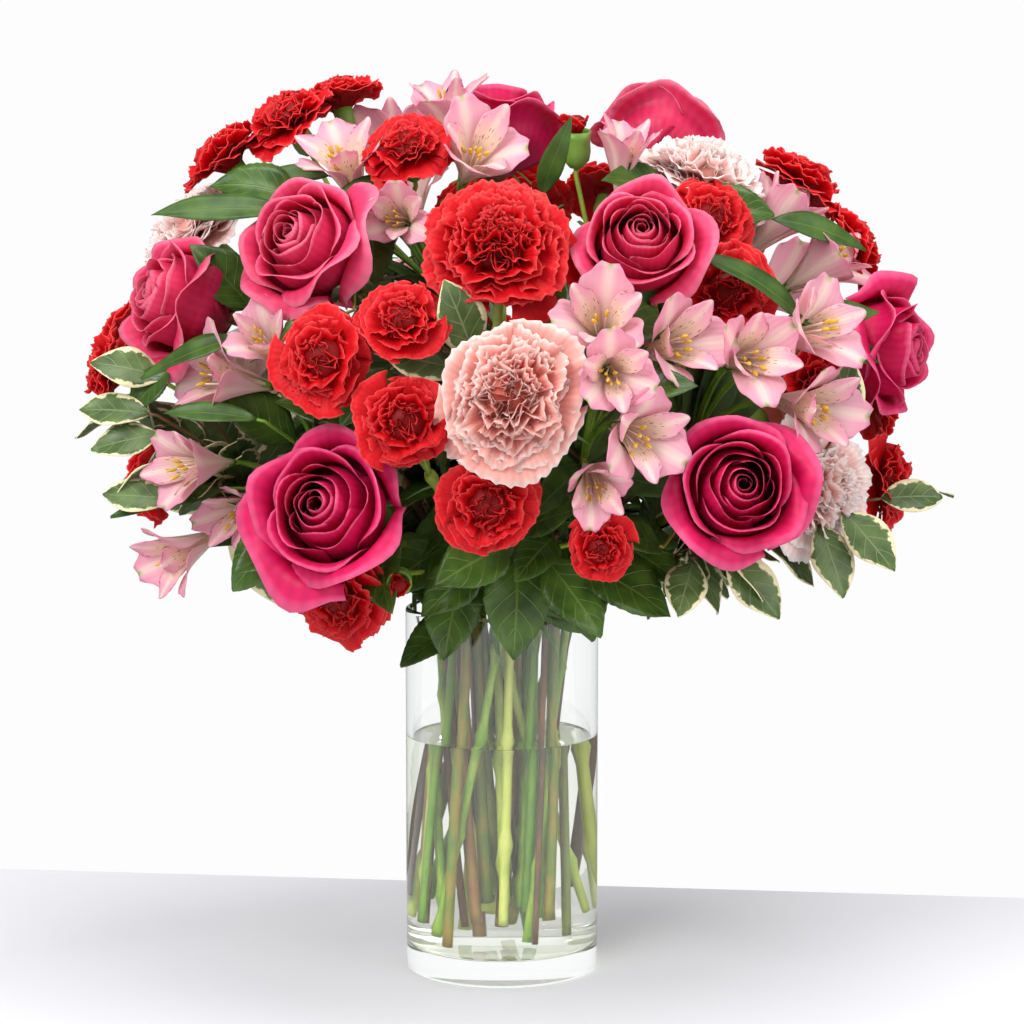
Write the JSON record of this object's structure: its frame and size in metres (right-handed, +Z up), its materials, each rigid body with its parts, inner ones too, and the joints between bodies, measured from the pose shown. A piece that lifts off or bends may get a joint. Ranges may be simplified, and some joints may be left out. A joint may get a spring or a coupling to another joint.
{
  "type": "mixed carnation and rose bouquet in a glass vase",
  "caption": "Domed bouquet of carnations, spray carnations, roses, alstroemeria and greens, standing in water in a straight clear glass cylinder vase.",
  "frame": {"origin": "centre of the vase's flat underside, on the surface it stands on", "axes": "+Z up along the vase's axis; the bouquet's front faces -Y, +X is its right as seen from the front"},
  "size_m": [0.4611, 0.362, 0.4779],
  "materials": {
    "clear_glass": "clear pressed soda-lime glass, fire-polished rim",
    "water": "clear still water",
    "rose_petals": "velvety hot-pink petals with lighter rims",
    "red_petals": "ruffled scarlet petals with toothed edges",
    "salmon_petals": "ruffled salmon-pink petals with pale edges",
    "blush_petals": "ruffled blush-pink petals",
    "alstroemeria_petals": "pale pink tepals with dark flecks and green tips",
    "variegated_leaves": "grey-green leaves with cream margins",
    "broad_leaves": "deep green veined leaves",
    "rose_stems": "smooth olive and brown stems",
    "carnation_stems": "waxy pale green jointed stems"
  },
  "bodies": {
    "root": {"vase": "clear_glass", "water": "water", "rose_1_stem": "rose_stems", "rose_1_bloom": "rose_petals", "rose_2_stem": "rose_stems", "rose_2_bloom": "rose_petals", "rose_3_stem": "rose_stems", "rose_3_bloom": "rose_petals", "rose_4_stem": "rose_stems", "rose_4_bloom": "rose_petals", "rose_5_stem": "rose_stems", "rose_5_bloom": "rose_petals", "rose_6_stem": "rose_stems", "rose_6_bloom": "rose_petals", "rose_7_stem": "rose_stems", "rose_7_bloom": "rose_petals", "rose_8_stem": "rose_stems", "rose_8_bloom": "rose_petals", "rose_9_stem": "rose_stems", "rose_9_bloom": "rose_petals", "rose_10_stem": "rose_stems", "rose_10_bloom": "rose_petals", "rose_11_stem": "rose_stems", "rose_11_bloom": "rose_petals", "carnation_1_stem": "carnation_stems", "carnation_1_bloom": "red_petals", "carnation_2_stem": "carnation_stems", "carnation_2_bloom": "salmon_petals", "carnation_3_stem": "carnation_stems", "carnation_3_bloom": "blush_petals", "carnation_4_stem": "carnation_stems", "carnation_4_bloom": "blush_petals", "carnation_5_stem": "carnation_stems", "carnation_5_bloom": "blush_petals", "carnation_6_stem": "carnation_stems", "carnation_6_bloom": "red_petals", "carnation_7_stem": "carnation_stems", "carnation_7_bloom": "blush_petals", "carnation_8_stem": "carnation_stems", "carnation_8_bloom": "salmon_petals", "spray_carnation_1": "red_petals", "spray_carnation_2": "red_petals", "spray_carnation_3": "red_petals", "spray_carnation_4": "red_petals", "spray_carnation_5": "red_petals", "spray_carnation_6": "red_petals", "spray_carnation_7": "red_petals", "spray_carnation_8": "red_petals", "alstroemeria_1": "alstroemeria_petals", "alstroemeria_2": "alstroemeria_petals", "alstroemeria_3": "alstroemeria_petals", "alstroemeria_4": "alstroemeria_petals", "alstroemeria_5": "alstroemeria_petals", "alstroemeria_6": "alstroemeria_petals", "alstroemeria_7": "alstroemeria_petals", "pittosporum_1": "variegated_leaves", "pittosporum_2": "variegated_leaves", "pittosporum_3": "variegated_leaves", "salal_1": "broad_leaves", "salal_2": "broad_leaves"}
  },
  "joints": []
}
